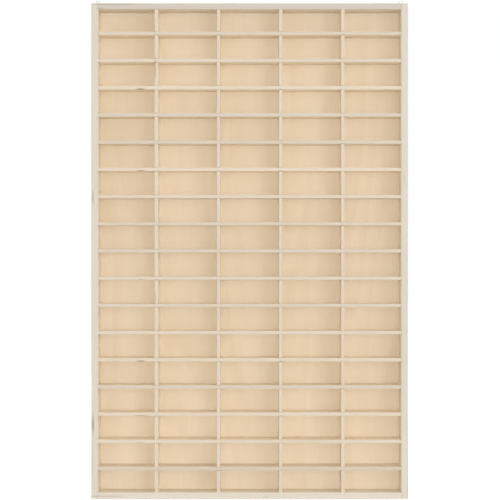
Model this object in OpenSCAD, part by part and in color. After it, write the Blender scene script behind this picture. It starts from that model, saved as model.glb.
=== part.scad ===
// Collector display case: a framed lattice of open compartments for a wall.
// The origin is the middle of the frame's footprint, +Z is up and the open front faces -Y.

/* [Case] */
// Outer width over the two side boards
case_w = 575; // [450:5:800]
// Outer height of the side boards
case_h = 900; // [700:5:1200]
// Depth from the front edges to the rear of the back panel
case_d = 60; // [45:1:90]
// Thickness of the two side boards
side_board_t = 12; // [10:0.5:16]
// Thickness of the top board and the bottom board
cross_board_t = 11; // [10:0.5:16]
// Radius on the front long edges of the frame boards
board_edge_r = 1; // [0.4:0.1:2]

/* [Lattice] */
// Rows of compartments
rows = 18; // [8:1:24]
// Columns of compartments
cols = 5; // [3:1:8]
// Thickness of the shelves and dividers
strip_t = 6; // [4:0.5:8]
// Radius on the front long edges of the shelves and dividers
strip_edge_r = 0.4; // [0.2:0.1:1]
// How far the lattice stands back from the frame's front edges
lattice_setback = 1; // [0.5:0.5:10]
// How much lower the top and bottom compartments are than the others
end_row_less = 3; // [0:0.5:6]
// How much narrower the outer compartments are than the others
end_col_less = 4; // [0:0.5:8]
// Clearance each side of a strip in the slot that it crosses
slot_gap = 0.25; // [0.1:0.05:0.5]
// Clearance between the bottoms of two crossing slots
slot_end_gap = 0.5; // [0.2:0.1:0.8]

/* [Back panel] */
// Thickness of the back panel
panel_t = 3; // [2.5:0.5:5]
// How far the panel's edges stay inside the frame's outline
panel_shy = 0.5; // [0.2:0.1:0.9]

/* [Hanging eyes] */
// Distance of each eye's centre from the frame's outer side
hanger_inset = 7.5; // [6:0.5:8]
// Height of each eye's centre above the top edge
eye_rise = 8.5; // [7:0.5:14]
// Diameter of the hole in each eye
eye_bore_d = 3.5; // [3:0.5:4.5]
// Width of the metal strap, which is also the eye's outer diameter
strap_w = 8; // [7:0.5:10]
// Thickness of the metal strap
strap_t = 1; // [0.8:0.1:1.5]
// Depth of the upper screw below the top edge
strap_screw_drop = 8; // [7:0.5:12]
// Distance between the two screws in a strap
strap_screw_pitch = 16; // [12:1:20]

/* [Fasteners] */
// Shank diameter of the strap screws
screw_d = 2.6; // [2:0.1:2.8]
// Length of the strap screws under the head
screw_len = 12; // [10:1:14]
// Head diameter of the strap screws
screw_head_d = 5; // [4.5:0.1:5.5]
// Head height of the strap screws
screw_head_h = 1.4; // [1:0.1:2]
// Clearance round a strap screw in its strap
screw_play = 0.2; // [0.1:0.05:0.3]
// Shank diameter of the corner nails
nail_d = 2; // [1.6:0.1:2.4]
// Length of the corner nails
nail_len = 35; // [30:1:40]
// Head diameter of the corner nails
nail_head_d = 3.4; // [3:0.1:4]
// Head height of the corner nails
nail_head_h = 1; // [0.8:0.1:1.5]
// Distance of each corner nail from the frame board's front or rear edge
nail_inset = 14; // [13:0.5:17]
// Shank diameter of the panel pins
pin_d = 1.4; // [1:0.1:1.8]
// Length of the panel pins under the head
pin_len = 13; // [12:1:14]
// Head diameter of the panel pins
pin_head_d = 3; // [2.5:0.1:3.5]
// Head height of the panel pins
pin_head_h = 0.5; // [0.4:0.1:0.8]
// Panel pins up each side board
side_pins = 6; // [3:1:8]
// Panel pins along the top board and the bottom board
cross_pins = 4; // [2:1:6]
// Distance of the outermost panel pins from the frame's corners
pin_end_inset = 60; // [45:5:90]
// Clearance round a nail, pin or screw in the wood
pilot_gap = 0.05; // [0.02:0.01:0.1]

/* [Hidden] */
$fn = 48;

// How far a cutting shape runs past the face that it opens
past = 1;

frame_colour = "#E2D8C5";
strip_colour = "#E7D5C0";
panel_colour = "#E1CBAE";
zinc_colour = "#C6C8BE";
steel_colour = "#A9AAA6";

inner_w = case_w - 2 * side_board_t;
inner_h = case_h - 2 * cross_board_t;
board_d = case_d - panel_t;

front_y = -case_d / 2;
panel_y = case_d / 2 - panel_t;
back_y = case_d / 2;
side_x = (case_w - side_board_t) / 2;

lattice_y = front_y + lattice_setback;
strip_d = board_d - lattice_setback;
lap_y = lattice_y + strip_d / 2;

row_clear = (inner_h - (rows - 1) * strip_t + 2 * end_row_less) / rows;
row_pitch = row_clear + strip_t;
top_shelf_z = case_h - cross_board_t - (row_clear - end_row_less) - strip_t / 2;

col_clear = (inner_w - (cols - 1) * strip_t + 2 * end_col_less) / cols;
col_pitch = col_clear + strip_t;
first_divider_x = -inner_w / 2 + (col_clear - end_col_less) + strip_t / 2;

nail_z = [cross_board_t / 2, case_h - cross_board_t / 2];
nail_y = [front_y + nail_inset, panel_y - nail_inset];

hanger_x = case_w / 2 - hanger_inset;
strap_screw_z = [
    case_h - strap_screw_drop,
    case_h - strap_screw_drop - strap_screw_pitch
];

// Places of the panel pins as [x, z], all on the centre lines of the frame boards
side_pin_pitch = (case_h - 2 * pin_end_inset) / (side_pins - 1);
cross_pin_pitch = (case_w - 2 * pin_end_inset) / (cross_pins - 1);
pin_places = concat(
    [for (x = [-side_x, side_x]) for (i = [0 : side_pins - 1])
        [x, pin_end_inset + i * side_pin_pitch]],
    [for (z = nail_z) for (i = [0 : cross_pins - 1])
        [-case_w / 2 + pin_end_inset + i * cross_pin_pitch, z]]
);

// Places of the strap screws as [x, z]
screw_places = [for (x = [-hanger_x, hanger_x]) for (z = strap_screw_z) [x, z]];

function shelf_z(i) = top_shelf_z - (i - 1) * row_pitch;
function divider_x(j) = first_divider_x + (j - 1) * col_pitch;
function shelf_name(i) = str("shelf_", i < 10 ? "0" : "", i);
function divider_name(j) = str("divider_", j);

// Cross-section of a strip of wood: its front stands on y = 0 with both corners rounded
module eased_section(thick, deep, r) {
    translate([-thick / 2, r])
        square([thick, deep - r]);
    translate([r - thick / 2, 0])
        square([thick - 2 * r, 2 * r]);
    for (side = [-1, 1])
        translate([side * (thick / 2 - r), r])
            circle(r);
}

// A strip of wood that stands upright on z = 0
module upright_strip(long, thick, deep, r) {
    linear_extrude(long)
        eased_section(thick, deep, r);
}

// A strip of wood that lies level, centred on x = 0 and z = 0
module level_strip(long, thick, deep, r) {
    rotate([0, 90, 0])
        linear_extrude(long, center = true)
            eased_section(thick, deep, r);
}

// Turns a shape that was drawn along +Z so that it runs forwards from a point
module facing_front(at) {
    translate(at)
        rotate([90, 0, 0])
            children();
}

// Turns a shape that was drawn along +Z so that it runs inwards from a side board's outer face
module facing_inwards(side, at) {
    translate(at)
        rotate([0, -90 * side, 0])
            children();
}

// A pointed shank that starts on z = 0
module shank(d, long) {
    cylinder(h = long - d, d = d);
    translate([0, 0, long - d])
        cylinder(h = d, d1 = d, d2 = d / 5);
}

module panel_pin() {
    shank(pin_d, pin_len);
    translate([0, 0, -pin_head_h])
        cylinder(h = pin_head_h, d = pin_head_d);
}

// The corner nail's head is sunk flush, so its top lies on z = 0
module corner_nail() {
    shank(nail_d, nail_len);
    cylinder(h = nail_head_h, d = nail_head_d);
}

// Round-headed screw whose head seats on z = 0
module strap_screw() {
    rim_h = screw_head_h / 3;
    shank(screw_d, screw_len);
    translate([0, 0, -rim_h])
        cylinder(h = rim_h, d = screw_head_d);
    translate([0, 0, -screw_head_h])
        cylinder(h = screw_head_h - rim_h, d1 = screw_head_d * 0.6, d2 = screw_head_d);
}

// Holes in the frame boards and in the panel, one shape for each kind of fastener
module nail_holes() {
    for (side = [-1, 1], y = nail_y, z = nail_z)
        facing_inwards(side, [side * case_w / 2, y, z]) {
            cylinder(h = nail_len + pilot_gap, d = nail_d + 2 * pilot_gap);
            translate([0, 0, -past])
                cylinder(h = nail_head_h + past, d = nail_head_d + 2 * pilot_gap);
        }
}

module pin_holes() {
    for (place = pin_places)
        facing_front([place.x, back_y + past, place.y])
            cylinder(h = pin_len + pilot_gap + past, d = pin_d + 2 * pilot_gap);
}

module screw_holes() {
    for (place = screw_places)
        facing_front([place.x, back_y + past, place.y])
            cylinder(h = screw_len - strap_t + pilot_gap + past, d = screw_d + 2 * pilot_gap);
}

module side_board(side) {
    color(frame_colour)
        difference() {
            translate([side * side_x, front_y, 0])
                upright_strip(case_h, side_board_t, board_d, board_edge_r);
            nail_holes();
            pin_holes();
            screw_holes();
        }
}

module cross_board(z) {
    color(frame_colour)
        difference() {
            translate([0, front_y, z])
                level_strip(inner_w, cross_board_t, board_d, board_edge_r);
            nail_holes();
            pin_holes();
        }
}

module side_left() {
    side_board(-1);
}

module side_right() {
    side_board(1);
}

module top_board() {
    cross_board(case_h - cross_board_t / 2);
}

module bottom_board() {
    cross_board(cross_board_t / 2);
}

module back_panel() {
    color(panel_colour)
        difference() {
            translate([panel_shy - case_w / 2, panel_y, panel_shy])
                cube([case_w - 2 * panel_shy, panel_t, case_h - 2 * panel_shy]);
            pin_holes();
            screw_holes();
        }
}

// A shelf runs through at the front and is slotted from the rear for each divider
module shelf(i) {
    color(strip_colour)
        difference() {
            translate([0, lattice_y, shelf_z(i)])
                level_strip(inner_w, strip_t, strip_d, strip_edge_r);
            for (j = [1 : cols - 1])
                translate([
                    divider_x(j) - strip_t / 2 - slot_gap,
                    lap_y - slot_end_gap / 2,
                    shelf_z(i) - strip_t / 2 - past
                ])
                    cube([
                        strip_t + 2 * slot_gap,
                        (strip_d + slot_end_gap) / 2 + past,
                        strip_t + 2 * past
                    ]);
        }
}

// A divider runs through at the rear and is slotted from the front for each shelf
module divider(j) {
    color(strip_colour)
        difference() {
            translate([divider_x(j), lattice_y, cross_board_t])
                upright_strip(inner_h, strip_t, strip_d, strip_edge_r);
            for (i = [1 : rows - 1])
                translate([
                    divider_x(j) - strip_t / 2 - past,
                    lattice_y - past,
                    shelf_z(i) - strip_t / 2 - slot_gap
                ])
                    cube([
                        strip_t + 2 * past,
                        (strip_d + slot_end_gap) / 2 + past,
                        strip_t + 2 * slot_gap
                    ]);
        }
}

// A metal strap on the rear of the panel, rounded at both ends, with its eye above the frame
module hanger(side) {
    eye_z = case_h + eye_rise;
    foot_z = strap_screw_z[1];
    color(zinc_colour)
        translate([side * hanger_x, back_y + strap_t, 0])
            difference() {
                facing_front([0, 0, 0])
                    linear_extrude(strap_t) {
                        translate([0, eye_z])
                            circle(d = strap_w);
                        translate([0, foot_z])
                            circle(d = strap_w);
                        translate([-strap_w / 2, foot_z])
                            square([strap_w, eye_z - foot_z]);
                    }
                facing_front([0, past, eye_z])
                    cylinder(h = strap_t + 2 * past, d = eye_bore_d);
                for (z = strap_screw_z)
                    facing_front([0, past, z])
                        cylinder(h = strap_t + 2 * past, d = screw_d + 2 * screw_play);
            }
}

module hanger_left() {
    hanger(-1);
}

module hanger_right() {
    hanger(1);
}

module hanger_screws() {
    color(zinc_colour)
        for (place = screw_places)
            facing_front([place.x, back_y + strap_t, place.y])
                strap_screw();
}

module frame_nails() {
    color(steel_colour)
        for (side = [-1, 1], y = nail_y, z = nail_z)
            facing_inwards(side, [side * case_w / 2, y, z])
                corner_nail();
}

module panel_pins() {
    color(steel_colour)
        for (place = pin_places)
            facing_front([place.x, back_y, place.y])
                panel_pin();
}

side_left();
side_right();
top_board();
bottom_board();
back_panel();
for (i = [1 : rows - 1])
    shelf(i);
for (j = [1 : cols - 1])
    divider(j);
hanger_left();
hanger_right();
hanger_screws();
frame_nails();
panel_pins();
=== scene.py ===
"""Dressed model of an open wooden wall case for small collected models.

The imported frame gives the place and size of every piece. Lengths are in metres, the open front
faces -Y and +Z is up. Wood is figured as a solid block, so edges, faces and ends agree.
"""

import logging
import math
from dataclasses import dataclass
from enum import Enum

import bmesh
import bpy
import numpy as np
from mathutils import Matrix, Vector


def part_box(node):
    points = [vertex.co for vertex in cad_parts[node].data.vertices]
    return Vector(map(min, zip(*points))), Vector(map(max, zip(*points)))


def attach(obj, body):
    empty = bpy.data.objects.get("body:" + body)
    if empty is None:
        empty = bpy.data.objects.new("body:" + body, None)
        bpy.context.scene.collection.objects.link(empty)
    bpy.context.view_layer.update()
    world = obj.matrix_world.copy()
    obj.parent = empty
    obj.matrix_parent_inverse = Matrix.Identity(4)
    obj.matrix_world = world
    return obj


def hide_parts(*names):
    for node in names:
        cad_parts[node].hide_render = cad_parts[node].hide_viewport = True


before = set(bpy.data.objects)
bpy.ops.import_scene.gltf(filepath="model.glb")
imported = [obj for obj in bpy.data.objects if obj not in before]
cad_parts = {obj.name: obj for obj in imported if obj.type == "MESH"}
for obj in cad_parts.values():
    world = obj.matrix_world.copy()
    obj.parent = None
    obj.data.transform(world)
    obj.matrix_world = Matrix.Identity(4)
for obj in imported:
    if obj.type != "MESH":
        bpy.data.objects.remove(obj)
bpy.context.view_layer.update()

log = logging.getLogger("collector_case")

MM = 0.001
Colour = tuple[float, float, float, float]
Span = tuple[float, float]
Place = tuple[float, float, float]
Surface = tuple[np.ndarray, list]

# Where a step is 0, and where it is 1.
Step = tuple[float, float]
# How strong bumps are, and how high.
Relief = tuple[float, float]

SHARP_ANGLE = math.radians(35)
WAVE_LENGTHS = (0.31, 0.12, 0.047)


def mm(*lengths: float) -> tuple[float, ...]:
    """Gives lengths in metres that are written in millimetres."""
    return tuple(length * MM for length in lengths)


def painted(red: int, green: int, blue: int) -> Colour:
    """Turns a screen colour into the linear colour that a shader takes.

    A channel c from 0 to 1 becomes ((c + 0.055) / 1.055) ** 2.4.

    Args:
        red: Red from 0 to 255.
        green: Green from 0 to 255.
        blue: Blue from 0 to 255.

    Returns:
        The linear colour with full opacity.
    """
    channels = [((c / 255 + 0.055) / 1.055) ** 2.4 for c in (red, green, blue)]
    return (*channels, 1.0)


class Lie(Enum):
    """How a piece lies: where its length, its width and its thickness point among X, Y and Z."""

    LEVEL = (0, 1, 2)
    UPRIGHT = (2, 1, 0)
    SHEET = (2, 0, 1)

    def place(self, points: np.ndarray) -> np.ndarray:
        """Turns points that were drawn along the piece's own directions.

        Args:
            points: The points as (length, width, thickness).

        Returns:
            The points as (x, y, z).
        """
        placed = np.empty_like(points)
        placed[:, list(self.value)] = points
        return placed


@dataclass(frozen=True)
class Extent:
    """The box of a CAD node, read along the length, width and thickness of a piece."""

    length: Span
    width: Span
    thickness: Span

    @classmethod
    def of(cls, node: str, lie: Lie) -> "Extent":
        """Reads a CAD node's box along the directions of a piece that lies so."""
        low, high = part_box(node)
        return cls(*((low[axis], high[axis]) for axis in lie.value))

    @property
    def middle(self) -> Place:
        """The middles of the three spans."""
        return tuple(sum(span) / 2 for span in (self.length, self.width, self.thickness))


class Signal:
    """An output of a shader node. Arithmetic on it adds Math nodes to its tree."""

    def __init__(self, tree: "ShaderTree", socket: bpy.types.NodeSocket) -> None:
        """Keeps the tree and the node's output."""
        self.tree = tree
        self.socket = socket

    def __add__(self, other: "Operand") -> "Signal":
        """Adds a signal or a number."""
        return self.tree.math("ADD", self, other)

    def __sub__(self, other: "Operand") -> "Signal":
        """Subtracts a signal or a number."""
        return self.tree.math("SUBTRACT", self, other)

    def __mul__(self, other: "Operand") -> "Signal":
        """Multiplies by a signal or a number."""
        return self.tree.math("MULTIPLY", self, other)

    def __truediv__(self, other: "Operand") -> "Signal":
        """Divides by a signal or a number."""
        return self.tree.math("DIVIDE", self, other)

    def __abs__(self) -> "Signal":
        """Drops the sign."""
        return self.tree.math("ABSOLUTE", self)

    def fraction(self) -> "Signal":
        """Keeps what follows the decimal point."""
        return self.tree.math("FRACT", self)

    def step(self, start: float, end: float) -> "Signal":
        """Rises smoothly from 0 at start to 1 at end, or falls where end is the smaller.

        Args:
            start: Where the result is 0.
            end: Where it is 1.

        Returns:
            The smooth step.
        """
        # Inputs 1 to 4 of a Map Range node are From Min, From Max, To Min and To Max.
        bounds = {1: min(start, end), 2: max(start, end)}
        results = {3: float(start > end), 4: float(start < end)}
        inputs = {0: self, **bounds, **results}
        return self.tree.add("ShaderNodeMapRange", inputs, interpolation_type="SMOOTHSTEP")


Operand = Signal | float | tuple


class ShaderTree:
    """A node tree that is written as calls on signals and plain values.

    Sockets go by number where names repeat: a Mix node takes numbers at 2 and 3, and it takes
    colours at 6 and 7 and gives one at 2.
    """

    def __init__(self, tree: bpy.types.NodeTree) -> None:
        """Empties a node tree and takes it over."""
        self.tree = tree
        tree.nodes.clear()

    @classmethod
    def of_material(cls, name: str) -> tuple[bpy.types.Material, "ShaderTree"]:
        """Starts a material.

        Args:
            name: The material's name.

        Returns:
            The material and its empty tree.
        """
        material = bpy.data.materials.new(name)
        material.use_nodes = True
        return material, cls(material.node_tree)

    def add(self, kind: str, inputs: dict, output: str | int = 0, **settings: object) -> Signal:
        """Adds a node.

        Args:
            kind: Blender's name of the node type.
            inputs: A signal or a value for each named or numbered input.
            output: The output that is wanted.
            **settings: Properties of the node.

        Returns:
            The wanted output.
        """
        node = self.tree.nodes.new(kind)
        for key, value in settings.items():
            setattr(node, key, value)
        for key, value in inputs.items():
            if isinstance(value, Signal):
                self.tree.links.new(value.socket, node.inputs[key])
            else:
                node.inputs[key].default_value = value
        return Signal(self, node.outputs[output])

    def math(self, operation: str, first: Operand, second: Operand = 0.0) -> Signal:
        """Adds a Math node."""
        return self.add("ShaderNodeMath", {0: first, 1: second}, operation=operation)

    def vector(self, operation: str, first: Operand, second: Operand, output: int = 0) -> Signal:
        """Adds a Vector Math node, whose output 1 is a length."""
        inputs = {0: first, 1: second}
        return self.add("ShaderNodeVectorMath", inputs, output, operation=operation)

    def length(self, vector: Signal) -> Signal:
        """Measures a vector."""
        return self.vector("LENGTH", vector, (0, 0, 0), output=1)

    def split(self, vector: Signal) -> tuple[Signal, ...]:
        """Gives the three parts of a vector."""
        separate = self.add("ShaderNodeSeparateXYZ", {0: vector}).socket.node
        return tuple(Signal(self, output) for output in separate.outputs)

    def join(self, x: Operand, y: Operand, z: Operand) -> Signal:
        """Makes a vector of three numbers."""
        return self.add("ShaderNodeCombineXYZ", {0: x, 1: y, 2: z})

    def choose(self, factor: Signal, first: Operand, second: Operand) -> Signal:
        """Gives the first number where the factor is 0 and the second where it is 1."""
        return self.add("ShaderNodeMix", {0: factor, 2: first, 3: second}, data_type="FLOAT")

    def tint(self, factor: Signal, first: Operand, second: Operand) -> Signal:
        """Gives the first colour where the factor is 0 and the second where it is 1."""
        return self.add("ShaderNodeMix", {0: factor, 6: first, 7: second}, 2, data_type="RGBA")

    def place(self) -> Signal:
        """Reads Object coordinates."""
        return self.add("ShaderNodeTexCoord", {}, "Object")

    def noise(self, at: Signal, lumps: Place, detail: float = 2.0) -> Signal:
        """Reads smooth noise, around 0.5, with so many lumps a metre each way."""
        scaled = self.vector("MULTIPLY", at, lumps)
        return self.add("ShaderNodeTexNoise", {"Vector": scaled, "Scale": 1.0, "Detail": detail})

    def bump(self, height: Signal, strength: float, distance: float) -> Signal:
        """Turns a height into a tilted normal."""
        inputs = {"Height": height, "Strength": strength, "Distance": distance}
        return self.add("ShaderNodeBump", inputs)

    def surface(self, **inputs: Operand) -> None:
        """Ends a material in a Principled surface, with underscores in its inputs' names."""
        named = {key.replace("_", " "): value for key, value in inputs.items()}
        self.end(self.add("ShaderNodeBsdfPrincipled", named), "ShaderNodeOutputMaterial")

    def end(self, shader: Signal, kind: str) -> None:
        """Links a shader to a new output node."""
        output = self.tree.nodes.new(kind)
        self.tree.links.new(shader.socket, output.inputs["Surface"])


@dataclass(frozen=True)
class GrainMark:
    """A dark mark in the wood's colour, a blurred ellipsoid: knots, streaks, stains and painted
    shadows.
    """

    centre: Place
    half_size: Place
    strength: float


@dataclass(frozen=True)
class Figure:
    """The fine figure of a wood: fibres, short flecks or pores, and broad clouds.

    Each is noise with so many lumps a metre each way, times its strength. A step keeps only the
    peaks of the flecks' noise.
    """

    fibres: Place
    fibre_strength: float
    flecks: Place
    fleck_level: Step
    fleck_strength: float
    clouds: Place
    cloud_strength: float

    def draw(self, tree: ShaderTree, at: Signal, rings: Signal) -> tuple[Signal, Signal]:
        """Draws the figure over the rings.

        Args:
            tree: The material under way.
            at: The place in the wood.
            rings: The darkness of the rings.

        Returns:
            The fibre noise, and the darkness of the whole figure.
        """
        fibre = tree.noise(at, self.fibres, detail=3.0)
        fleck = tree.noise(at, self.flecks, detail=0.0).step(*self.fleck_level)
        cloud = tree.noise(at, self.clouds, detail=1.0)
        fibres = (fibre - 0.5) * self.fibre_strength
        clouds = (cloud - 0.5) * self.cloud_strength
        return fibre, rings + fibres + clouds + fleck * self.fleck_strength


@dataclass(frozen=True)
class SawnWood:
    """Sanded bare softwood.

    The rings are cylinders round a pith that lies beside the piece, wavering along the grain.
    Over them goes the fine figure. Each piece carries the point attribute "sawn": minus its
    middle across the grain, its tone from -1 to 1, and 1 if upright. Pieces of another tone come
    from another part of the log. Sawn ends are darker. Faces to the front carry painted shade,
    darker and greyer, which the eased edges that look up are spared, as painted light from above.
    """

    name: str
    pale: Colour
    deep: Colour
    ring_width: float
    ring_strength: float
    tone_value: float
    # Painted shade on faces to the front: how much darker and how much greyer they are.
    front_painted_shade: float
    front_painted_grey: float
    # Colour of knots, streaks and stains, and of painted shadows.
    knot_and_shade: Colour = painted(112, 82, 50)
    pith_away: float = 47 * MM
    pith_spread: float = 31 * MM
    pith_behind: float = 22 * MM
    ring_waver: float = 26 * MM
    waver_lumps: Place = (4, 9, 9)
    late_start: Step = (0.2, 0.86)
    late_end: Step = (1.0, 0.93)
    figure: Figure = Figure(
        fibres=(35, 1100, 1100), fibre_strength=0.9,
        flecks=(170, 2900, 2900), fleck_level=(0.66, 0.78), fleck_strength=0.25,
        clouds=(5, 26, 26), cloud_strength=0.8,
    )
    log_length: float = 5.0
    end_facing: Step = (0.6, 0.9)
    end_darker: float = 0.13
    # Which faces count as facing the front, and where the painted shade stops on faces that look up, as
    # painted light from above.
    front_facing: Step = (-0.1, -0.5)
    shade_unless_looking_up: Step = (0.85, 0.5)
    roughness: float = 0.52
    uneven_gloss: float = 0.2
    fibre_height: float = 0.6
    late_height: float = 0.4
    relief: Relief = (0.35, 0.12 * MM)
    fray: float = 0.5
    mark_edge: Step = (1.3, 0.55)
    marks: tuple[GrainMark, ...] = ()

    def build(self) -> bpy.types.Material:
        """Builds the material.

        Returns:
            The material.
        """
        material, tree = ShaderTree.of_material(self.name)
        place = tree.place()
        sawn = tree.add("ShaderNodeAttribute", {}, "Vector", attribute_name="sawn")
        minus_middle, tone, upright = tree.split(sawn)
        x, depth, z = tree.split(place)
        along = tree.choose(upright, x, z) + tone * self.log_length
        across = tree.choose(upright, z, x) + minus_middle + (tone * self.pith_spread + self.pith_away)
        block = tree.join(along, depth, across)

        late = self.late_wood(tree, block)
        fibre, dark = self.figure.draw(tree, block, late * self.ring_strength)
        colour = self.marked(tree, place, fibre, tree.tint(dark, self.pale, self.deep))

        normal = tree.add("ShaderNodeNewGeometry", {}, "Normal")
        normal_x, normal_y, normal_z = tree.split(normal)
        end = abs(tree.choose(upright, normal_x, normal_z)).step(*self.end_facing)
        # Painted shade: faces to the front are darker and greyer, except where they look up, as painted
        # light from above.
        front = normal_y.step(*self.front_facing) * normal_z.step(*self.shade_unless_looking_up)
        value = tone * self.tone_value - end * self.end_darker - front * self.front_painted_shade + 1.0
        inputs = {"Color": colour, "Value": value, "Saturation": front * -self.front_painted_grey + 1.0}
        colour = tree.add("ShaderNodeHueSaturation", inputs)

        grain = tree.bump(fibre * self.fibre_height + late * self.late_height, *self.relief)
        rough = fibre * self.uneven_gloss + self.roughness
        tree.surface(Base_Color=colour, Roughness=rough, Normal=grain)
        return material

    def late_wood(self, tree: ShaderTree, block: Signal) -> Signal:
        """Draws the dark late wood, which darkens slowly across a ring and ends sharply.

        A point's distance from the pith, plus slow noise, is divided by the ring width, and its
        fraction tells how far across a ring the point lies.

        Args:
            tree: The material under way.
            block: The place in the log, as (along, depth, across).

        Returns:
            0 in early wood and 1 in late wood.
        """
        waver = (tree.noise(block, self.waver_lumps) - 0.5) * self.ring_waver
        _, depth, across = tree.split(block)
        radius = tree.length(tree.join(0.0, depth + self.pith_behind, across))
        part = ((radius + waver) / self.ring_width).fraction()
        return part.step(*self.late_start) * part.step(*self.late_end)

    def marked(self, tree: ShaderTree, place: Signal, fibre: Signal, colour: Signal) -> Signal:
        """Darkens the colour at each mark, for knots, streaks, stains and painted shadows.

        A mark's strength is multiplied by a step of the distance from its centre, which is
        measured in half sizes and frayed by the fibres.

        Args:
            tree: The material under way.
            place: Object coordinates.
            fibre: The fibre noise.
            colour: The colour so far.

        Returns:
            The colour with the marks.
        """
        frayed = fibre * self.fray
        for mark in self.marks:
            offset = tree.vector("SUBTRACT", place, mark.centre)
            reach = tree.length(tree.vector("DIVIDE", offset, mark.half_size)) + frayed
            colour = tree.tint(reach.step(*self.mark_edge) * mark.strength, colour, self.knot_and_shade)
        return colour


@dataclass(frozen=True)
class Plywood:
    """Thin three-ply sheet with a rotary-cut face veneer whose grain runs upright.

    The bands are the level lines of one slow, upright-stretched noise: a place's value times the
    number of bands, of which the fraction is kept. Over them goes the fine figure, whose flecks
    are the pores. The core shows on the sheet's edges.
    """

    name: str
    pale: Colour
    deep: Colour
    core: Colour
    middle: float
    bands: float = 7.0
    band_lumps: Place = (7.0, 7.0, 1.3)
    band_start: Step = (0.1, 0.85)
    band_end: Step = (1.0, 0.9)
    band_strength: float = 0.15
    figure: Figure = Figure(
        fibres=(900, 900, 22), fibre_strength=0.55,
        flecks=(2300, 2300, 130), fleck_level=(0.67, 0.78), fleck_strength=0.2,
        clouds=(14, 14, 5), cloud_strength=0.45,
    )
    least_dark: float = 0.15
    core_half: float = 0.56 * MM
    core_blur: float = 0.06 * MM
    roughness: float = 0.5
    uneven_gloss: float = 0.2
    relief: Relief = (0.3, 0.1 * MM)

    def build(self) -> bpy.types.Material:
        """Builds the material.

        Returns:
            The material.
        """
        material, tree = ShaderTree.of_material(self.name)
        place = tree.place()
        band = (tree.noise(place, self.band_lumps, detail=1.5) * self.bands).fraction()
        band = band.step(*self.band_start) * band.step(*self.band_end)
        fibre, dark = self.figure.draw(tree, place, band * self.band_strength)
        colour = tree.tint(dark + self.least_dark, self.pale, self.deep)

        _, depth, _ = tree.split(place)
        edges = (self.core_half + self.core_blur, self.core_half - self.core_blur)
        colour = tree.tint(abs(depth - self.middle).step(*edges), colour, self.core)
        rough = fibre * self.uneven_gloss + self.roughness
        tree.surface(Base_Color=colour, Roughness=rough, Normal=tree.bump(fibre, *self.relief))
        return material


@dataclass(frozen=True)
class PlatedMetal:
    """Zinc-plated or drawn steel: patches of two greys, uneven gloss and fine scratches."""

    name: str
    light: Colour
    dull: Colour
    roughness: float
    patches: float = 700.0
    patch_edge: Step = (0.35, 0.7)
    scratches: Place = (6000, 900, 900)
    uneven_gloss: float = 0.18
    relief: Relief = (0.2, 0.03 * MM)

    def build(self) -> bpy.types.Material:
        """Builds the material.

        Returns:
            The material.
        """
        material, tree = ShaderTree.of_material(self.name)
        place = tree.place()
        patch = tree.noise(place, (self.patches,) * 3)
        scratch = tree.noise(place, self.scratches)
        colour = tree.tint(patch.step(*self.patch_edge), self.light, self.dull)
        rough = patch * self.uneven_gloss + self.roughness
        scratched = tree.bump(scratch, *self.relief)
        tree.surface(Base_Color=colour, Metallic=1.0, Roughness=rough, Normal=scratched)
        return material


def stand(name: str, data: bpy.types.ID) -> bpy.types.Object:
    """Puts a mesh, a lamp or a camera into the scene.

    Args:
        name: The object's name.
        data: What it shows.

    Returns:
        The object.
    """
    made = bpy.data.objects.new(name, data)
    bpy.context.scene.collection.objects.link(made)
    return made


class Workshop:
    """Turns worked-out surfaces into pieces that ride with the case."""

    @staticmethod
    def piece(node: str, made_of: str, surface: Surface, material: bpy.types.Material,
              slot: str) -> bpy.types.Object:
        """Makes the piece that stands for a CAD node.

        Args:
            node: The CAD node's name, with which the piece's name begins.
            made_of: The word that ends the piece's name.
            surface: Points in metres, where the piece stands, and each face's corners.
            material: The piece's material.
            slot: The record's material slot; not used.

        Returns:
            The object.
        """
        name = f"{node}_{made_of}"
        points, faces = surface
        mesh = bpy.data.meshes.new(name)
        mesh.from_pydata(points.tolist(), [], faces)
        shell = bmesh.new()
        shell.from_mesh(mesh)
        bmesh.ops.recalc_face_normals(shell, faces=shell.faces)
        shell.to_mesh(mesh)
        shell.free()
        mesh.polygons.foreach_set("use_smooth", np.full(len(mesh.polygons), True))
        mesh.materials.append(material)
        piece = stand(name, mesh)
        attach(piece, "root")
        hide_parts(node)
        log.info("%s: %d faces", name, len(mesh.polygons))
        return piece

    @staticmethod
    def saw(piece: bpy.types.Object, extent: Extent, lie: Lie, tone: float) -> None:
        """Writes on a wooden piece which part of the log it was sawn from.

        Args:
            piece: The piece.
            extent: The piece's box.
            lie: How the piece lies.
            tone: From -1 to 1.
        """
        sawn = piece.data.attributes.new("sawn", "FLOAT_VECTOR", "POINT")
        value = (-extent.middle[2], tone, float(lie is Lie.UPRIGHT))
        sawn.data.foreach_set("vector", np.tile(value, len(piece.data.vertices)))

    @staticmethod
    def ease(piece: bpy.types.Object, width: float) -> None:
        """Rounds a piece's sharp edges, as sanding does.

        Args:
            piece: The piece.
            width: How far from an edge the rounding starts.
        """
        bevel = piece.modifiers.new("eased edges", "BEVEL")
        bevel.width = width
        bevel.segments = 2
        bevel.limit_method = "ANGLE"
        bevel.angle_limit = SHARP_ANGLE
        bevel.harden_normals = True


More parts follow.
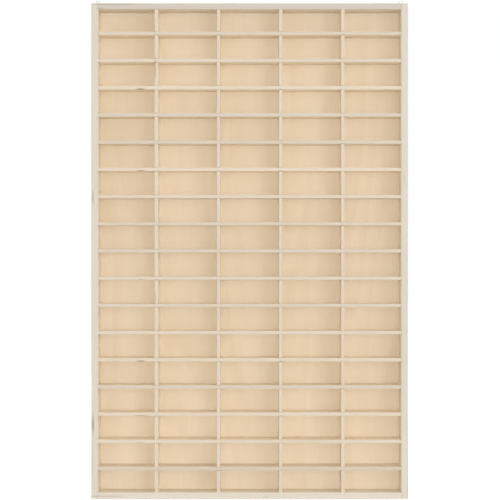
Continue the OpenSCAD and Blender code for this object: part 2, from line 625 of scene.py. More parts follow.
def slotted_plate(lengthwise: np.ndarray, crosswise: np.ndarray, keep: np.ndarray,
                  thickness: Span) -> tuple[np.ndarray, np.ndarray]:
    """Works out a closed plate over the kept cells of a grid.

    Node (i, j) of the grid stands at (lengthwise[i], crosswise[j]) on a lower and on an upper
    layer. Each kept cell has a face on both layers, and each side between a kept cell and one
    that isn't has a wall.

    Args:
        lengthwise: Grid lines along the length.
        crosswise: Grid lines along the width.
        keep: Which cells are wood, one row for each cell along the length.
        thickness: Heights of the two layers.

    Returns:
        The points as (length, width, thickness) and the quads.
    """
    shape = (len(lengthwise), len(crosswise))
    node = np.arange(shape[0] * shape[1]).reshape(shape)
    grid = np.stack(np.meshgrid(lengthwise, crosswise, indexing="ij"), -1).reshape(-1, 2)
    points = np.concatenate([np.column_stack([grid, np.full(len(grid), z)]) for z in thickness])
    rise = node.size

    i, j = np.nonzero(keep)
    low = np.stack([node[i, j], node[i, j + 1], node[i + 1, j + 1], node[i + 1, j]], 1)
    quads = [low, low[:, ::-1] + rise]
    padded = np.pad(keep, 1)
    sides = (
        ((-1, 0), (0, 1), (0, 0)),
        ((1, 0), (1, 0), (1, 1)),
        ((0, -1), (0, 0), (1, 0)),
        ((0, 1), (1, 1), (0, 1)),
    )
    for (di, dj), start, end in sides:
        beside = padded[1 + di : padded.shape[0] - 1 + di, 1 + dj : padded.shape[1] - 1 + dj]
        i, j = np.nonzero(keep & ~beside)
        a = node[i + start[0], j + start[1]]
        b = node[i + end[0], j + end[1]]
        quads.append(np.stack([a, b, b + rise, a + rise], 1))
    used, quads = np.unique(np.concatenate(quads), return_inverse=True)
    return points[used], quads.reshape(-1, 4)


def lines_between(fixed: np.ndarray, spacing: float) -> np.ndarray:
    """Fills the gaps between fixed grid lines evenly, with a hair of slack in the spacing.

    Args:
        fixed: Lines that have to be there. Those that agree to 7 decimals are one.
        spacing: The widest gap allowed.

    Returns:
        All the lines, in order.
    """
    fixed = np.unique(np.round(fixed, 7))
    counts = np.maximum(np.ceil(np.diff(fixed) / spacing - 1e-6).astype(int), 1)
    gaps = zip(fixed[:-1], fixed[1:], counts)
    return np.concatenate([*(np.linspace(a, b, n, endpoint=False) for a, b, n in gaps), fixed[-1:]])


def ramp(values: np.ndarray, start: float, end: float) -> np.ndarray:
    """Rises in a straight line from 0 at start to 1 at end, and is level beyond them."""
    return np.clip((values - start) / (end - start), 0, 1)


def waver(along: np.ndarray, seed: int) -> np.ndarray:
    """Gives a slow irregular wave from about -1 to 1: the mean of three sines of random phase.

    Args:
        along: Places along a piece.
        seed: Chooses the phases.

    Returns:
        One value for each place.
    """
    lengths = np.array(WAVE_LENGTHS)
    phases = np.random.default_rng(seed).uniform(0, 2 * math.pi, len(lengths))
    return np.sin(2 * math.pi * along[:, None] / lengths + phases).mean(1)


def ring_faces(rings: int, count: int, close_rings: bool = False) -> np.ndarray:
    """Joins rings of points into quads.

    Args:
        rings: How many rings there are.
        count: Points in each ring.
        close_rings: Whether the last ring joins the first one.

    Returns:
        The quads.
    """
    index = np.arange(rings * count).reshape(rings, count)
    after = np.roll(index, -1, 0) if close_rings else index[1:]
    here = index if close_rings else index[:-1]
    return np.stack([here, np.roll(here, -1, 1), np.roll(after, -1, 1), after], -1).reshape(-1, 4)


@dataclass
class FrameBoards:
    """The four boards of the frame, with eased edges and dimples over the corner nails."""

    front_radius: float = 1.0 * MM
    rear_radius: float = 0.45 * MM
    end_radius: float = 0.3 * MM
    nail_inset: float = 14 * MM
    dimple_radius: float = 1.85 * MM
    dimple_depth: float = 0.42 * MM
    dimple_edge: Step = (1.12, 0.96)
    dimple_mesh: float = 0.32 * MM
    lines_along: int = 9
    lines_across: int = 10
    spacing: float = 7 * MM
    face_spacing: float = 5.95 * MM
    edge_room: float = 1.6 * MM
    edge_lines: int = 4
    arc_steps: int = 4
    end_steps: int = 3
    swell: float = 0.3
    wave_seed: int = 11
    boards: tuple[tuple[str, Lie, float], ...] = (
        ("side_left", Lie.UPRIGHT, -0.1),
        ("side_right", Lie.UPRIGHT, -0.15),
        ("top_board", Lie.LEVEL, -1.0),
        ("bottom_board", Lie.LEVEL, 0.25),
    )
    finish: SawnWood = SawnWood(
        "pine_frame_bare",
        pale=painted(245, 234, 216),
        deep=painted(228, 208, 177),
        ring_width=2.8 * MM,
        ring_strength=0.35,
        tone_value=0.08,
        # Painted shade on the boards' faces to the front: darker and greyer.
        front_painted_shade=0.32,
        front_painted_grey=0.12,
        marks=(
            GrainMark(mm(-284.4, -30, 135), mm(2.5, 5, 20), 0.5),
            GrainMark(mm(-284.6, -30, 133), mm(2.5, 5, 60), 0.1),
            GrainMark(mm(-284.9, -30, 62), mm(2.6, 5, 52), 0.1),
            GrainMark(mm(-284.4, -30, 548), mm(2.5, 5, 17), 0.31),
            GrainMark(mm(281, -30, 581), mm(1.5, 5, 18), 0.2),
            # Darker along the right board's outer front edge.
            GrainMark(mm(287.5, -30, 450), mm(1.8, 4, 2000), 0.13),
            GrainMark(mm(-245, -30, 897.9), mm(74, 9, 1.2), 0.4),
            GrainMark(mm(255, -30, 897.9), mm(34, 9, 1.1), 0.1),
            GrainMark(mm(-271, -30, 890.6), mm(8, 5, 1.0), 0.5),
            GrainMark(mm(-260, -30, 4.6), mm(44, 9, 1.5), 0.32),
            GrainMark(mm(30, -30, 3.4), mm(5, 5, 2.0), 0.3),
            # Darker still along that edge towards the bottom.
            GrainMark(mm(288, -30, 0), mm(2.3, 2.2, 190), 0.55),
            GrainMark(mm(0, -30, 892.2), mm(2000, 5, 1.2), 0.07),
        ),
    )

    def build(self) -> None:
        """Builds the two sides, the top and the bottom."""
        material = self.finish.build()
        for seed, (node, lie, tone) in enumerate(self.boards):
            extent = Extent.of(node, lie)
            points, faces = self.board(extent, seed, self.nails(node, extent))
            surface = (lie.place(points), faces)
            piece = Workshop.piece(node, "wood", surface, material, "pine_frame")
            Workshop.saw(piece, extent, lie, tone)

    def nails(self, node: str, extent: Extent) -> list[Span]:
        """Finds the corner nails on a side board.

        Args:
            node: The board's node.
            extent: The board's box.

        Returns:
            Their places as (length, width), and none on a top or bottom board.
        """
        if not node.startswith("side"):
            return []
        cross = ("top_board", "bottom_board")
        heights = [Extent.of(board, Lie.LEVEL).middle[2] for board in cross]
        depths = (extent.width[0] + self.nail_inset, extent.width[1] - self.nail_inset)
        return [(z, y) for z in heights for y in depths]

    def close_lines(self, count: int) -> np.ndarray:
        """Gives so many close grid lines on either side of 0, for a dimple."""
        return np.arange(-count, count + 1) * self.dimple_mesh

    def section(self, extent: Extent, fine: set[float]) -> tuple[np.ndarray, np.ndarray, np.ndarray]:
        """Works out a board's cross-section as a loop of points.

        A point is a corner of the sharp rectangle plus the corner's radius times a reach, where
        the reach of an arc's point at angle t is (cos t - s, sin t - u) for the corner (s, u).

        Args:
            extent: The board's box.
            fine: Widths round which the loop has extra points.

        Returns:
            Points on the sharp rectangle, their reaches, and their outward directions.
        """
        half = np.array([np.ptp(extent.width), np.ptp(extent.thickness)]) / 2
        inner = half - self.edge_room
        dense = self.close_lines(self.lines_across) - extent.middle[1]
        broad = np.concatenate([[-inner[0], inner[0]], *(dense + y for y in fine)])
        broad = lines_between(broad, self.face_spacing)
        short = np.linspace(-inner[1], inner[1], self.edge_lines)
        corners = ((-1, -1), (1, -1), (1, 1), (-1, 1))
        faces = (
            (broad, 0, (0, -1)),
            (short, 1, (1, 0)),
            (broad[::-1], 0, (0, 1)),
            (short[::-1], 1, (-1, 0)),
        )
        sharp, reach, outward = [], [], []
        for quarter_turn, (corner, (run, axis, normal)) in enumerate(zip(corners, faces)):
            angle = (quarter_turn + 2 + np.linspace(0, 1, self.arc_steps + 1)) * math.pi / 2
            arc = np.column_stack([np.cos(angle), np.sin(angle)])
            face = np.tile(half * normal, (len(run), 1))
            face[:, axis] = run
            sharp += [np.tile(half * corner, (len(arc), 1)), face]
            reach += [arc - corner, np.zeros_like(face)]
            outward += [arc, np.tile(np.array(normal, float), (len(run), 1))]
        return np.concatenate(sharp), np.concatenate(reach), np.concatenate(outward)

    def board(self, extent: Extent, seed: int, nails: list[Span]) -> Surface:
        """Carries the cross-section along the board.

        The front corners' radius swells and shrinks with a slow wave, as on an edge that was
        eased by hand. At both ends the section draws in over a quarter circle. A dimple lowers
        the points of the outer face by its depth times a step of their distance from the nail,
        which is measured in dimple radii.

        Args:
            extent: The board's box.
            seed: Chooses the waves.
            nails: Places of the nails as (length, width).

        Returns:
            The points as (length, width, thickness) and the faces, the two ends last.
        """
        sharp, reach, outward = self.section(extent, {y for _, y in nails})
        start, end = extent.length
        dense = self.close_lines(self.lines_along)
        fixed = [[start + self.end_radius, end - self.end_radius], *(dense + z for z, _ in nails)]
        body = lines_between(np.concatenate(fixed), self.spacing)
        turn = np.linspace(0, math.pi / 2, self.end_steps + 1)[1:]
        rise, inset = self.end_radius * np.sin(turn), self.end_radius * (1 - np.cos(turn))
        along = np.concatenate([(body[0] - rise)[::-1], body, body[-1] + rise])
        drawn_in = np.concatenate([inset[::-1], np.zeros_like(body), inset])

        front = self.front_radius * (1 + self.swell * waver(along, seed + self.wave_seed))[:, None]
        radius = np.where(sharp[:, 0] < 0, front, self.rear_radius)[..., None]
        across = sharp + reach * radius - outward * drawn_in[:, None, None] + extent.middle[1:]
        outer_face = np.isclose(np.sign(extent.middle[2]) * outward[:, 1], 1)
        for z, y in nails:
            away = np.hypot(along[:, None] - z, across[..., 0] - y) / self.dimple_radius
            depth = self.dimple_depth * ramp(away, *self.dimple_edge)
            across[..., 1] -= np.where(outer_face, depth, 0) * outward[:, 1]
        rings, count = across.shape[:2]
        lengths = np.broadcast_to(along[:, None, None], (rings, count, 1))
        points = np.concatenate([lengths, across], -1).reshape(-1, 3)
        ends = [list(range(count)), list(range((rings - 1) * count, rings * count))]
        return points, ring_faces(rings, count).tolist() + ends


@dataclass(frozen=True)
class Chip:
    """A torn place on a shelf's lower front edge, and how dark the stain in it is."""

    shelf: str
    middle: float
    half_length: float
    depth: float
    stain: float


@dataclass(frozen=True)
class JointGapShadows:
    """Crossings, as (shelf, divider), with a painted gap shadow below the shelf, and its darkness."""

    shade: float
    crossings: tuple[tuple[int, int], ...]


@dataclass
class Lattice:
    """The cross-halved shelves and dividers: shelves slotted from the rear, dividers from the front."""

    slot_gap: float = 0.25 * MM
    slot_end_gap: float = 0.5 * MM
    edge: float = 0.38 * MM
    spacing: float = 7 * MM
    rim: float = 1.6 * MM
    seed: int = 16121
    chips: tuple[Chip, ...] = (
        Chip("shelf_03", *mm(-198.4, 9, 0.8), 0.95),
        Chip("shelf_06", *mm(-197.4, 9, 0.6), 0.7),
        Chip("shelf_10", *mm(-198, 6, 0.4), 0.4),
        Chip("shelf_13", *mm(-197.4, 9, 0.8), 0.9),
        Chip("shelf_15", *mm(-197.5, 14, 0.5), 0.5),
        Chip("shelf_16", *mm(-199, 10, 0.4), 0.4),
    )
    chip_points: int = 15
    chip_slant: float = 0.6
    stain_length: float = 1.1
    stain_above: float = 0.5 * MM
    stain_reach: Span = mm(4, 0.6)
    streaks: tuple[GrainMark, ...] = (
        GrainMark(mm(-171.3, -29, 783), mm(1.5, 4, 26), 0.42),
        GrainMark(mm(-171.3, -29, 366), mm(1.5, 4, 15), 0.28),
    )
    # Painted shadows of open gaps below the shelves, at these crossings.
    joint_gap_shadows: tuple[JointGapShadows, ...] = (
        JointGapShadows(0.19, ((1, 1), (5, 4), (6, 1), (6, 2), (10, 3), (14, 4), (15, 1), (15, 3), (17, 2))),
        JointGapShadows(0.26, ((1, 2), (1, 3), (1, 4), (2, 1), (8, 4), (10, 1))),
        JointGapShadows(0.37, ((3, 3), (6, 3), (13, 3))),
    )
    gap_shadow_size: Place = mm(5, 4, 2)

    def finish(self) -> SawnWood:
        """Chooses the strips' wood, stained at each chip, with a painted shadow below each open joint.

        Returns:
            The finish.
        """
        marks = list(self.streaks)
        deep, high = self.stain_reach
        for chip in self.chips:
            extent = Extent.of(chip.shelf, Lie.LEVEL)
            centre = (chip.middle, extent.width[0], extent.thickness[0] + self.stain_above)
            half_size = (self.stain_length * chip.half_length, deep, high + chip.depth)
            marks.append(GrainMark(centre, half_size, chip.stain))
        # A painted shadow below the shelf at each of these crossings.
        for joints in self.joint_gap_shadows:
            for shelf, divider in joints.crossings:
                level = Extent.of(f"shelf_{shelf:02d}", Lie.LEVEL)
                across = Extent.of(f"divider_{divider}", Lie.UPRIGHT).middle[2]
                centre = (across, level.width[0], level.thickness[0])
                marks.append(GrainMark(centre, self.gap_shadow_size, joints.shade))
        return SawnWood(
            "lattice_strip_bare",
            pale=painted(247, 234, 212),
            deep=painted(232, 211, 182),
            ring_width=2.2 * MM,
            ring_strength=0.4,
            tone_value=0.055,
            # Painted shade on the strips' faces to the front: darker only.
            front_painted_shade=0.35,
            front_painted_grey=0.0,
            marks=tuple(marks),
        )

    def build(self) -> None:
        """Builds every shelf and divider."""
        material = self.finish().build()
        names = sorted(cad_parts)
        shelves = {n: Extent.of(n, Lie.LEVEL) for n in names if n.startswith("shelf_")}
        dividers = {n: Extent.of(n, Lie.UPRIGHT) for n in names if n.startswith("divider_")}
        tones = np.random.default_rng(self.seed).uniform(-1, 1, len(shelves) + len(dividers))
        tones = dict(zip([*shelves, *dividers], tones.tolist()))
        for own, crossing, lie in ((shelves, dividers, Lie.LEVEL), (dividers, shelves, Lie.UPRIGHT)):
            slots = [extent.thickness for extent in crossing.values()]
            for node, extent in own.items():
                chips = [chip for chip in self.chips if chip.shelf == node]
                points, quads = self.strip(extent, slots, lie is Lie.LEVEL, chips)
                surface = (lie.place(points), quads.tolist())
                strip = Workshop.piece(node, "wood", surface, material, "lattice_strip")
                Workshop.ease(strip, self.edge)
                Workshop.saw(strip, extent, lie, tones[node])

    def strip(self, extent: Extent, slots: list[Span], from_rear: bool,
              chips: list[Chip]) -> tuple[np.ndarray, np.ndarray]:
        """Works out a strip with its slots.

        The strip is a plate over a grid whose lines run along every slot, and the cells inside
        the slots are left out. A chip lifts the points of the lower front edge by its depth
        times (1 - t * t), where t runs from -1 to 1 over its length, and pushes them back by a
        share of that.

        Args:
            extent: The strip's box.
            slots: Spans of the strips that cross it, along its length.
            from_rear: Whether the slots open at the rear.
            chips: Torn places on its lower front edge.

        Returns:
            The points as (length, width, thickness) and the quads.
        """
        cuts = np.array(slots) + (-self.slot_gap, self.slot_gap)
        front, rear = extent.width
        lap = (front + rear) / 2 + self.slot_end_gap / 2 * (-1 if from_rear else 1)
        spread = np.linspace(-1, 1, self.chip_points)
        torn = [spread * chip.half_length + chip.middle for chip in chips]
        along = lines_between(np.concatenate([extent.length, cuts.ravel(), *torn]), self.spacing)
        fixed = np.array([front, front + self.rim, lap, rear - self.rim, rear])
        wide = lines_between(fixed, self.spacing)
        middle, depth = (along[1:] + along[:-1]) / 2, (wide[1:] + wide[:-1]) / 2
        in_slot = ((middle[:, None] > cuts[:, 0]) & (middle[:, None] < cuts[:, 1])).any(1)
        in_lap = depth > lap if from_rear else depth < lap
        points, quads = slotted_plate(along, wide, ~(in_slot[:, None] & in_lap), extent.thickness)
        edge = np.isclose(points[:, 1], front) & np.isclose(points[:, 2], extent.thickness[0])
        for chip in chips:
            t = (points[:, 0] - chip.middle) / chip.half_length
            lift = chip.depth * np.clip(1 - t * t, 0, 1) * edge
            points[:, 2] += lift
            points[:, 1] += lift * self.chip_slant
        return points, quads


@dataclass
class BackSheet:
    """The plywood sheet that closes the rear."""

    edge: float = 0.25 * MM
    spacing: float = 16 * MM
    ripple: float = 0.05 * MM
    seed: int = 3

    def build(self) -> None:
        """Builds the sheet, whose two faces follow a ripple of the given height."""
        lie = Lie.SHEET
        extent = Extent.of("back_panel", lie)
        finish = Plywood(
            "plywood_panel_bare",
            pale=painted(241, 227, 205),
            deep=painted(221, 200, 167),
            core=painted(186, 156, 118),
            middle=extent.middle[2],
        )
        spans = (extent.length, extent.width)
        lines = [lines_between(np.array(span), self.spacing) for span in spans]
        keep = np.ones([len(line) - 1 for line in lines], bool)
        points, quads = slotted_plate(*lines, keep, extent.thickness)
        inward = np.sign(extent.middle[2] - points[:, 2])
        points[:, 2] += inward * self.ripple * (1 + waver(points[:, 1], self.seed)) / 2
        surface = (lie.place(points), quads.tolist())
        sheet = Workshop.piece("back_panel", "plywood", surface, finish.build(), "plywood_panel")
        Workshop.ease(sheet, self.edge)


def turned(profile: np.ndarray, count: int) -> Surface:
    """Turns a profile round an axis.

    The point at angle a of the profile point (r, h) is (r cos a, r sin a, h). The first and the
    last profile point lie on the axis, and stand there once.

    Args:
        profile: Distance from the axis and height of each profile point, 0 away at both ends.
        count: Points round the axis.

    Returns:
        The points and the faces.
    """
    radius, height = profile.T
    angle = np.arange(count) * 2 * math.pi / count
    rings = radius[1:-1, None, None] * np.stack([np.cos(angle), np.sin(angle)], -1)
    levels = np.broadcast_to(height[1:-1, None, None], rings.shape[:2] + (1,))
    body = np.concatenate([rings, levels], -1).reshape(-1, 3)
    points = np.concatenate([body, [[0, 0, height[0]], [0, 0, height[-1]]]])
    faces = ring_faces(len(radius) - 2, count).tolist()
    for pole, start in ((len(body), 0), (len(body) + 1, len(body) - count)):
        ring = start + np.arange(count)
        faces += np.column_stack([np.full(count, pole), ring, np.roll(ring, -1)]).tolist()
    return points, faces


def copies(shape: Surface, places: np.ndarray, axes: np.ndarray) -> Surface:
    """Repeats a shape that was drawn along its third coordinate.

    A point p of the copy at place q is q plus p times the copy's three axes.

    Args:
        shape: The drawn points and faces.
        places: Where each copy's origin goes.
        axes: For each copy, its three axes as rows.

    Returns:
        All the points and faces.
    """
    points, faces = shape
    moved = np.einsum("pk,nkc->npc", points, axes) + places[:, None]
    starts = np.arange(len(places)) * len(points)
    shifted = [[corner + start for corner in face] for start in starts.tolist() for face in faces]
    return moved.reshape(-1, 3), shifted


def quarter(start: Span, end: Span, steps: int) -> np.ndarray:
    """Gives a quarter ellipse that leaves a profile point level and reaches another upright.

    Args:
        start: The first point as (radius, height), which isn't given again.
        end: The last point.
        steps: How many points to give.

    Returns:
        The points, one row each.
    """
    t = np.linspace(0, math.pi / 2, steps + 1)[1:]
    return np.array(start) + np.column_stack([np.sin(t), 1 - np.cos(t)]) * np.subtract(end, start)


BACKWARDS = np.array([[1, 0, 0], [0, 0, -1], [0, 1, 0]], float)


@dataclass
class HangingEyes:
    """Two zinc-plated straps, screwed on behind the sides, whose eyes stand above the top edge."""

    bore_radius: float = 1.75 * MM
    rounding: float = 0.2 * MM
    rounding_steps: int = 3
    eye_points: int = 25
    side_points: int = 14
    foot_points: int = 17
    crowding: float = 1.6
    screw_pitch: float = 16 * MM
    screw_radius: float = 1.3 * MM
    head_radius: float = 2.5 * MM
    head_foot_radius: float = 2.45 * MM
    head_height: float = 1.4 * MM
    screw_length: float = 12 * MM
    screw_taper: float = 0.8
    screw_sides: int = 72
    head_steps: int = 4
    recess_depth: float = 0.75 * MM
    recess_reach: float = 1.35 * MM
    recess_width: float = 0.34 * MM
    recess_wall: Step = (1.25, 0.8)
    recess_power: float = 2.5
    rim_height: float = 0.49 * MM
    rim_foot: float = 0.0588 * MM
    crown_radius: float = 2.35 * MM
    crown_drop: float = 0.62
    crown_power: float = 2.6
    crown_rings: int = 21
    screw_turns: tuple[float, ...] = (20, 65, -12, 38)
    finish: PlatedMetal = PlatedMetal(
        "zinc_plate_bright", light=painted(190, 192, 186), dull=painted(150, 153, 147), roughness=0.3
    )

    def build(self) -> None:
        """Builds both straps, and all four screws as one piece."""
        material = self.finish.build()
        places = []
        for node in ("hanger_left", "hanger_right"):
            low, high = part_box(node)
            Workshop.piece(node, "strap", self.strap(low, high), material, "zinc_plate")
            middle, foot = (low.x + high.x) / 2, low.z + (high.x - low.x) / 2
            places += [(middle, high.y, foot), (middle, high.y, foot + self.screw_pitch)]
        turns = np.radians(self.screw_turns)
        spin = np.tile(np.eye(3), (len(turns), 1, 1))
        spin[:, 0, 0] = spin[:, 1, 1] = np.cos(turns)
        spin[:, 0, 1], spin[:, 1, 0] = np.sin(turns), -np.sin(turns)
        screws = copies(self.screw(), np.array(places), spin @ BACKWARDS)
        Workshop.piece("hanger_screws", "turned", screws, material, "zinc_plate")

    def strap(self, low: Vector, high: Vector) -> Surface:
        """Carries a rounded section round the eye, from its hole to the strap's outline.

        The outline is a half circle round the eye, two straight sides, whose points crowd
        towards the eye, and a half circle round the foot. The hole's point for an outline point
        has the same direction from the eye. Round the section, the outline draws in by e and the
        hole widens by e, where e goes from 0 on the walls to the rounding on the two faces along
        a quarter circle.

        Args:
            low: Lowest corner of the strap's box.
            high: Highest corner.

        Returns:
            The points and the faces.
        """
        half = (high.x - low.x) / 2
        drop = high.z - low.z - 2 * half
        eye, side, foot = self.eye_points, self.side_points, self.foot_points
        fall = -drop * np.linspace(0, 1, side + 2)[1:-1] ** self.crowding
        centre = np.concatenate([np.zeros(eye), fall, np.full(foot, -drop), fall[::-1]])
        turns = [np.linspace(0, 1, eye), np.ones(side), np.linspace(1, 2, foot), np.zeros(side)]
        turn = np.concatenate(turns) * math.pi
        rim = np.column_stack([np.cos(turn), np.sin(turn)])
        outline = rim * half + np.column_stack([np.zeros_like(centre), centre])
        to_hole = outline / np.linalg.norm(outline, axis=1)[:, None]

        t = np.linspace(0, math.pi / 2, self.rounding_steps + 1)
        draw = self.rounding * (1 - np.cos(t))
        near, far = low.y + self.rounding * (1 - np.sin(t)), high.y - self.rounding * (1 - np.sin(t))
        outer = [*zip(draw, near)][::-1] + [*zip(draw, far)]
        inner = [*zip(draw, far)][::-1] + [*zip(draw, near)]
        loops = [(outline - rim * e, y) for e, y in outer]
        loops += [(to_hole * (self.bore_radius + e), y) for e, y in inner]
        middle = ((low.x + high.x) / 2, high.z - half)
        rings = [np.insert(xz + middle, 1, y, axis=1) for xz, y in loops]
        return np.concatenate(rings), ring_faces(len(rings), len(outline), close_rings=True).tolist()

    def screw(self) -> Surface:
        """Turns a pan-headed screw and presses a cross into its head.

        The crown falls from the middle with a power of the distance. The cross lowers a point
        by the recess depth times the larger of two steps, one along each arm, and it runs
        shallower towards the ends of the arms.

        Returns:
            The points, with the head's underside at height 0, and the faces.
        """
        rim = self.rim_height
        crown = np.linspace(0, 1, self.crown_rings, endpoint=False)
        fall = (self.head_height - rim) * self.crown_drop * crown**self.crown_power
        top = np.column_stack([crown * self.crown_radius, self.head_height - fall])
        profile = np.concatenate([
            top,
            quarter(tuple(top[-1]), (self.head_radius, rim), self.head_steps),
            [(self.head_radius, self.rim_foot), (self.head_foot_radius, 0), (self.screw_radius, 0)],
            [(self.screw_radius, -self.screw_taper * self.screw_length), (0, -self.screw_length)],
        ])
        points, faces = turned(profile, self.screw_sides)
        reach = np.abs(points[:, :2])
        arm = ramp(reach / self.recess_width, *self.recess_wall)
        run = 1 - ramp(reach[:, ::-1], 0, self.recess_reach) ** self.recess_power
        cross = (arm * run).max(1) * (points[:, 2] > rim / 2)
        points[:, 2] -= self.recess_depth * cross
        return points, faces


@dataclass
class WireFasteners:
    """The corner nails, sunk a hair below the sides, and the pins along the back sheet."""

    nail_inset: float = 14 * MM
    nail_radius: float = 1.0 * MM
    nail_head_radius: float = 1.7 * MM
    nail_head_height: float = 0.7 * MM
    nail_head_round: float = 0.14 * MM
    nail_sunk: float = 0.22 * MM
    nail_length: float = 34 * MM
    nail_neck: float = 0.25 * MM
    nail_sides: int = 40
    nail_rings: int = 11
    nail_edge_steps: int = 3
    groove_pitch: float = 0.8 * MM
    groove_depth: float = 0.05 * MM
    pin_radius: float = 0.7 * MM
    pin_head_radius: float = 1.5 * MM
    pin_head_height: float = 0.48 * MM
    pin_side: Span = mm(0.1, 0.02)
    pin_dome_steps: int = 8
    pin_length: float = 13 * MM
    pin_sides: int = 24
    taper: float = 0.9
    pin_end_inset: float = 60 * MM
    side_pins: int = 6
    cross_pins: int = 4
    finish: PlatedMetal = PlatedMetal(
        "steel_wire_bright", light=painted(178, 178, 174), dull=painted(148, 148, 143),
        roughness=0.36, patches=900.0,
    )

    def build(self) -> None:
        """Builds the nails as one piece and the pins as another."""
        material = self.finish.build()
        nails = copies(self.nail(), *self.nail_places())
        Workshop.piece("frame_nails", "driven", nails, material, "bright_steel")
        places = self.pin_places()
        pins = copies(self.pin(), places, np.tile(BACKWARDS, (len(places), 1, 1)))
        Workshop.piece("panel_pins", "driven", pins, material, "bright_steel")

    def nail_places(self) -> tuple[np.ndarray, np.ndarray]:
        """Places the nails.

        Returns:
            Where their heads lie, and the axes that point them outwards.
        """
        places, axes = [], []
        for side, node in ((-1, "side_left"), (1, "side_right")):
            low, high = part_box(node)
            x = low.x if side < 0 else high.x
            for board in ("top_board", "bottom_board"):
                z = Extent.of(board, Lie.LEVEL).middle[2]
                for y in (low.y + self.nail_inset, high.y - self.nail_inset):
                    places.append((x, y, z))
                    axes.append(((0, side, 0), (0, 0, 1), (side, 0, 0)))
        return np.array(places), np.array(axes, float)

    def nail(self) -> Surface:
        """Turns a nail whose flat head has crossed grooves, a product of two sines in depth.

        Returns:
            The points, with the board's face at height 0, and the faces.
        """
        top, under = -self.nail_sunk, -self.nail_sunk - self.nail_head_height
        side = (self.nail_head_radius, top - self.nail_head_round)
        flat = np.linspace(0, 1, self.nail_rings, endpoint=False)
        flat = flat * (self.nail_head_radius - self.nail_head_round)
        profile = np.concatenate([
            np.column_stack([flat, np.full_like(flat, top)]),
            quarter((flat[-1], top), side, self.nail_edge_steps),
            [(self.nail_head_radius, under), (self.nail_radius, under - self.nail_neck)],
            [(self.nail_radius, under - self.taper * self.nail_length), (0, under - self.nail_length)],
        ])
        points, faces = turned(profile, self.nail_sides)
        on_flat = (points[:, 2] >= top) & (np.hypot(points[:, 0], points[:, 1]) <= flat[-1])
        groove = np.sin(points[:, :2] * 2 * math.pi / self.groove_pitch).prod(1)
        points[:, 2] -= on_flat * self.groove_depth * (1 - groove) / 2
        return points, faces

    def pin_places(self) -> np.ndarray:
        """Places the pins on the sheet's rear, along the middle of each frame board.

        Returns:
            Where their heads' undersides lie.
        """
        left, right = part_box("side_left"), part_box("side_right")
        top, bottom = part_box("top_board"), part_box("bottom_board")
        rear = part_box("back_panel")[1].y
        inset = self.pin_end_inset
        heights = np.linspace(left[0].z + inset, left[1].z - inset, self.side_pins)
        widths = np.linspace(left[0].x + inset, right[1].x - inset, self.cross_pins)
        sides = [(sum(c.x for c in board) / 2, rear, z) for board in (left, right) for z in heights]
        level = [(x, rear, sum(c.z for c in board) / 2) for board in (top, bottom) for x in widths]
        return np.array(sides + level)

    def pin(self) -> Surface:
        """Turns a pin with a low domed head, whose side stands upright between two heights.

        Returns:
            The points, with the head's underside at height 0, and the faces.
        """
        crown = (0.0, self.pin_head_height)
        high, low = self.pin_side
        profile = np.concatenate([
            [crown],
            quarter(crown, (self.pin_head_radius, high), self.pin_dome_steps),
            [(self.pin_head_radius, low), (self.pin_radius, 0)],
            [(self.pin_radius, -self.taper * self.pin_length), (0, -self.pin_length)],
        ])
        return turned(profile, self.pin_sides)


@dataclass(frozen=True)
class SoftBox:
    """A rectangular lamp: its place, width and height, watts, aim and full angle in degrees."""

    name: str
    place: Place
    size: Span
    power: float
    aim: Place = (0.0, 0.0, 0.45)
    spread: float = 180.0


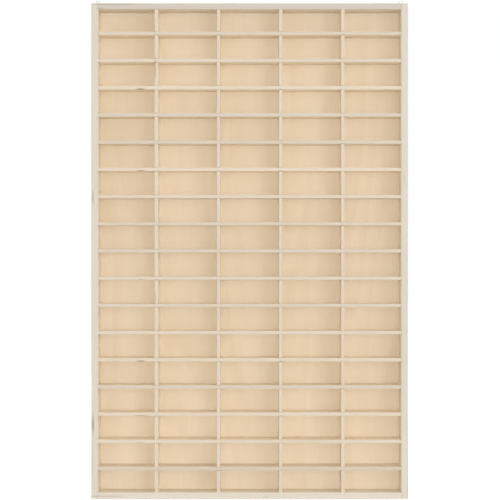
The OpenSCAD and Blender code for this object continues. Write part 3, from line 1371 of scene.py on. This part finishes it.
@dataclass
class Studio:
    """White floor and surroundings, with soft lamps before the case and one behind it."""

    sky: float = 0.957
    floor_colour: Colour = (0.86, 0.86, 0.86, 1.0)
    floor_lift: float = 0.32
    floor_reach: float = 12.0
    lamps: tuple[SoftBox, ...] = (
        SoftBox("key", (0.0, -12.0, 0.45), (1.0, 1.0), 297.0),
        SoftBox("fill", (6.0, -10.4, 1.08), (4.0, 3.0), 101.0),
        SoftBox("side", (10.9, -5.1, 1.08), (5.0, 3.0), 241.0),
        SoftBox("low", (0.0, -2.0, 0.05), (1.8, 0.06), 0.085, (0.0, 0.0, 0.04), 14.0),
        SoftBox("rear", (-1.0, 3.2, 0.9), (1.4, 1.0), 6.0),
    )

    def build(self) -> None:
        """Builds the floor, the world and the lamps."""
        self.floor()
        self.world()
        for lamp in self.lamps:
            self.hang(lamp)

    def floor(self) -> None:
        """Lays a pale floor, which the camera sees as white where nothing shades it."""
        material, tree = ShaderTree.of_material("white_floor")
        diffuse = tree.add("ShaderNodeBsdfDiffuse", {"Color": self.floor_colour})
        glow = tree.add("ShaderNodeEmission", {"Strength": self.seen(tree) * self.floor_lift})
        tree.end(tree.add("ShaderNodeAddShader", {0: diffuse, 1: glow}), "ShaderNodeOutputMaterial")
        signs = ((-1, -1), (1, -1), (1, 1), (-1, 1))
        corners = [(x * self.floor_reach, y * self.floor_reach, 0) for x, y in signs]
        mesh = bpy.data.meshes.new("floor")
        mesh.from_pydata(corners, [], [(0, 1, 2, 3)])
        mesh.materials.append(material)
        stand("floor", mesh)

    def seen(self, tree: ShaderTree) -> Signal:
        """Tells which rays see the background as white.

        Args:
            tree: The floor's or the world's tree.

        Returns:
            1 for camera, glossy and transmission rays, and 0 for the others.
        """
        camera, glossy, clear = (
            tree.add("ShaderNodeLightPath", {}, f"Is {ray} Ray")
            for ray in ("Camera", "Glossy", "Transmission")
        )
        return tree.math("MAXIMUM", camera, tree.math("MAXIMUM", glossy, clear))

    def world(self) -> None:
        """Surrounds the case with an even sky, which the camera sees as white."""
        world = bpy.data.worlds.new("surroundings")
        world.use_nodes = True
        tree = ShaderTree(world.node_tree)
        strength = tree.choose(self.seen(tree), self.sky, 1.0)
        background = tree.add("ShaderNodeBackground", {"Color": (1, 1, 1, 1), "Strength": strength})
        tree.end(background, "ShaderNodeOutputWorld")
        bpy.context.scene.world = world

    def hang(self, lamp: SoftBox) -> None:
        """Hangs a lamp and turns it to its aim.

        Args:
            lamp: The lamp.
        """
        data = bpy.data.lights.new(lamp.name, "AREA")
        data.shape = "RECTANGLE"
        data.size, data.size_y = lamp.size
        data.energy = lamp.power
        data.spread = math.radians(lamp.spread)
        hung = stand(lamp.name, data)
        hung.location = lamp.place
        ray = Vector(lamp.aim) - Vector(lamp.place)
        hung.rotation_euler = ray.to_track_quat("-Z", "Y").to_euler()


@dataclass
class PhotoCamera:
    """A long lens that faces the open front squarely, from a little above the case's middle."""

    place: Place = (0.8 * MM, -3.43, 451.8 * MM)
    focal_length: float = 134.8
    sensor: float = 36.0
    farthest: float = 100.0

    def build(self) -> None:
        """Builds the camera and gives it to the scene."""
        data = bpy.data.cameras.new("photo")
        data.lens = self.focal_length
        data.sensor_width = self.sensor
        data.clip_end = self.farthest
        camera = stand("photo", data)
        camera.location = self.place
        camera.rotation_euler = (math.pi / 2, 0, 0)
        bpy.context.scene.camera = camera


def main() -> None:
    """Builds the case and what it stands in, and reports each piece."""
    bpy.context.scene.view_settings.view_transform = "Standard"
    for part in (PhotoCamera, Studio, FrameBoards, Lattice, BackSheet, HangingEyes, WireFasteners):
        log.info("%s", part.__name__)
        part().build()


if __name__ == "__main__":
    logging.basicConfig(level=logging.INFO, format="%(name)s: %(message)s")
    main()
